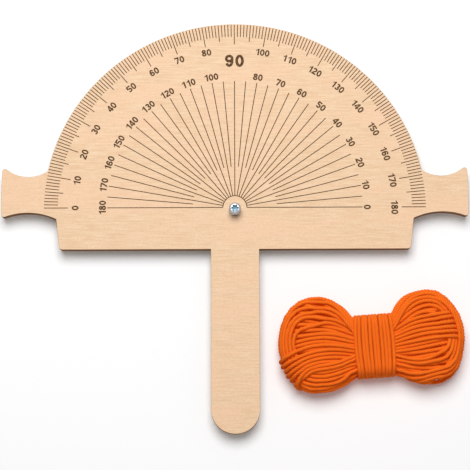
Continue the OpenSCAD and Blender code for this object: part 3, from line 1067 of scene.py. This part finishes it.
def make_world(settings):
    world = bpy.data.worlds.new("studio")
    world.use_nodes = True
    bpy.context.scene.world = world
    tree = world.node_tree
    light = tree.nodes["Background"]
    light.inputs["Color"].default_value = (1.0, 1.0, 1.0, 1.0)
    light.inputs["Strength"].default_value = settings.ambient
    white = tree.nodes.new("ShaderNodeBackground")
    white.inputs["Strength"].default_value = 1.0
    rays = tree.nodes.new("ShaderNodeLightPath")
    larger = rays.outputs["Is Camera Ray"]
    for name in ("Is Glossy Ray", "Is Transmission Ray"):
        either = tree.nodes.new("ShaderNodeMath")
        either.operation = "MAXIMUM"
        tree.links.new(larger, either.inputs[0])
        tree.links.new(rays.outputs[name], either.inputs[1])
        larger = either.outputs[0]
    choose = tree.nodes.new("ShaderNodeMixShader")
    tree.links.new(larger, choose.inputs[0])
    tree.links.new(light.outputs[0], choose.inputs[1])
    tree.links.new(white.outputs[0], choose.inputs[2])
    tree.links.new(choose.outputs[0], tree.nodes["World Output"].inputs["Surface"])


def make_floor(settings):
    half = 4000.0
    points = [(-half, -half, FLOOR_Z), (half, -half, FLOOR_Z), (half, half, FLOOR_Z), (-half, half, FLOOR_Z)]
    floor = mesh_piece("floor", points, [(0, 1, 2, 3)], [floor_finish(settings)])


# Settings


def length(name, description, default):
    return FloatProperty(
        name=name, description=description, default=default * MM, subtype="DISTANCE",
        unit="LENGTH", precision=5,
    )


def place(name, description, default):
    return FloatProperty(
        name=name, description=description, default=default * MM, subtype="DISTANCE",
        unit="LENGTH", precision=5, soft_min=-1.0, soft_max=1.0,
    )


def angle(name, description, degrees):
    return FloatProperty(
        name=name, description=description, default=math.radians(degrees), subtype="ANGLE",
        unit="ROTATION",
    )


def colour(name, description, default):
    return FloatVectorProperty(
        name=name, description=description, default=default, subtype="COLOR", size=3,
        min=0.0, max=1.0,
    )


class StageSettings(bpy.types.PropertyGroup):
    floor: colour("Floor", "Colour of the floor", (0.94, 0.94, 0.94))
    floor_glow: FloatProperty(
        name="Floor glow", description="How much lighter than its lighting the floor is seen",
        default=0.08, min=0.0, max=1.0,
    )
    ambient: FloatProperty(
        name="Ambient", description="Strength of the light from all round", default=0.22, min=0.0,
    )
    key_power: FloatProperty(
        name="Key lamp", description="Power of the soft lamp beyond the arc", default=26.5,
        min=0.0, unit="POWER",
    )
    lens: FloatProperty(name="Lens", description="Focal length in millimetres", default=122.55)
    tilt: angle("Tilt", "Tilt of the camera from straight down", 11.0)
    camera_roll: angle("Roll", "Turn of the camera about its view", -0.2)
    camera_place: FloatVectorProperty(
        name="Camera place", description="Place of the camera", default=(0.0, -0.2193, 1.0423),
        size=3, subtype="TRANSLATION", unit="LENGTH",
    )


class PlateSettings(bpy.types.PropertyGroup):
    wood: colour("Wood", "Colour of the face veneer", (0.865, 0.62, 0.40))
    burn: colour("Burn", "Colour of burnt wood", (0.082, 0.040, 0.012))
    scale_radius: length("Scale radius", "Radius of the arc that carries the marks", 127.5)
    zero_height: length("Zero height", "Height of the zero line over the screw", 2.0)
    mark_width: length("Mark width", "Width of the engraved lines", 0.58)
    mark_depth: length("Mark depth", "Depth of the engraved lines", 0.14)
    number_height: length("Number height", "Height of the small numbers", 4.7)
    big_number_height: length("Big number height", "Height of the number at the top", 8.7)
    weight: FloatProperty(
        name="Weight", description="Width of the digits' strokes for a height of 1", default=0.215,
    )
    arris: length("Arris", "Rounding of the cut edges", 0.12)
    ply: length("Ply", "Thickness of one ply", 1.2)


class ScrewSettings(bpy.types.PropertyGroup):
    zinc: colour("Zinc", "Colour of the plating", (0.50, 0.54, 0.58))
    thread: length("Thread", "Diameter of the thread", 4.0)
    thread_pitch: length("Pitch", "Pitch of the thread", 0.7)
    head_width: length("Head width", "Diameter of the head", 8.0)
    head_height: length("Head height", "Height of the head", 3.02)
    socket_width: length("Socket width", "Width of the socket over its lobes", 5.0)
    socket_depth: length("Socket depth", "Depth of the socket", 1.7)


class YarnSettings(bpy.types.PropertyGroup):
    # Strength of the painted glow: red emission on the yarn, which is no lamp
    glow: FloatProperty(
        name="Glow", description="How much the dye glows in daylight", default=0.09, min=0.0,
    )
    yarn: colour("Yarn", "Colour of the yarn", (0.98, 0.255, 0.014))
    yarn_width: length("Yarn width", "Diameter of the yarn", 2.85)
    plies: IntProperty(name="Plies", description="Plies twisted together", default=4, min=2, max=4)
    ply_depth: FloatProperty(name="Ply depth", description="Depth between the plies", default=0.17)
    twist: length("Twist", "Length of one turn of the plies", 8.6)
    ring_step: length("Ring step", "Distance between the rings of the mesh", 1.05)
    wraps: IntProperty(name="Wraps", description="Wraps of the band", default=11, min=1)
    waist_length: length("Waist length", "Length of the waist that the band holds", 28.0)
    waist_height: length("Waist height", "Height of the waist's middle over the table", 9.4)
    hank_x: place("Hank x", "Place of the hank beside the handle", 90.6)
    hank_y: place("Hank y", "Place of the hank below the screw", -91.0)
    hank_turn: angle("Hank turn", "Turn of the hank on the table", 4.0)
    rounds: IntProperty(name="Rounds", description="Steps in which the yarn settles", default=160)


# Operators


class STAGE_OT_build(bpy.types.Operator):
    """Makes the camera, floor, lamps and world"""

    bl_idname = "angle_finder.stage"
    bl_label = "Stage"

    def execute(self, context):
        settings = context.scene.finder_stage
        make_camera(settings)
        make_floor(settings)
        make_world(settings)
        make_lamp("key_lamp", (-0.08, 0.62, 1.5), (0.0, 0.0, 0.0), 1.3, settings.key_power)
        context.scene.view_settings.view_transform = "Standard"
        return {"FINISHED"}


class PLATE_OT_build(bpy.types.Operator):
    """Makes the plywood plate with its engraved scale"""

    bl_idname = "angle_finder.plate"
    bl_label = "Plate"

    def execute(self, context):
        make_plate(context.scene.finder_plate)
        return {"FINISHED"}


class SCREW_OT_build(bpy.types.Operator):
    """Makes the screw and finishes the nuts"""

    bl_idname = "angle_finder.screw"
    bl_label = "Screw and nuts"

    def execute(self, context):
        settings = context.scene.finder_screw
        make_screw(settings)
        plating = zinc(settings, "zinc_nut", 0.26)
        for name in ("front_nut", "back_nut"):
            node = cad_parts[name]
            node.data.materials.clear()
            node.data.materials.append(plating)
        return {"FINISHED"}


class YARN_OT_build(bpy.types.Operator):
    """Winds the hank of yarn and its band"""

    bl_idname = "angle_finder.yarn"
    bl_label = "Yarn hank"

    def execute(self, context):
        make_yarn(context.scene.finder_yarn)
        return {"FINISHED"}


class FINDER_PT_panel(bpy.types.Panel):
    """Lists the pieces of the angle finder"""

    bl_idname = "FINDER_PT_panel"
    bl_label = "Angle finder"
    bl_space_type = "VIEW_3D"
    bl_region_type = "UI"
    bl_category = "Angle finder"

    def draw(self, context):
        for operator, holder in PIECES:
            box = self.layout.box()
            box.operator(operator.bl_idname)
            settings = getattr(context.scene, holder)
            for name in settings.__annotations__:
                box.prop(settings, name)


PIECES = (
    (STAGE_OT_build, "finder_stage"),
    (PLATE_OT_build, "finder_plate"),
    (SCREW_OT_build, "finder_screw"),
    (YARN_OT_build, "finder_yarn"),
)
SETTINGS = {
    "finder_stage": StageSettings,
    "finder_plate": PlateSettings,
    "finder_screw": ScrewSettings,
    "finder_yarn": YarnSettings,
}
CLASSES = (*SETTINGS.values(), *(operator for operator, _ in PIECES), FINDER_PT_panel)


def register():
    for cls in CLASSES:
        bpy.utils.register_class(cls)
    for holder, group in SETTINGS.items():
        setattr(bpy.types.Scene, holder, PointerProperty(type=group))


def unregister():
    for holder in SETTINGS:
        delattr(bpy.types.Scene, holder)
    for cls in reversed(CLASSES):
        bpy.utils.unregister_class(cls)


def main():
    register()
    bpy.ops.angle_finder.stage()
    bpy.ops.angle_finder.plate()
    bpy.ops.angle_finder.screw()
    bpy.ops.angle_finder.yarn()


if __name__ == "__main__":
    main()
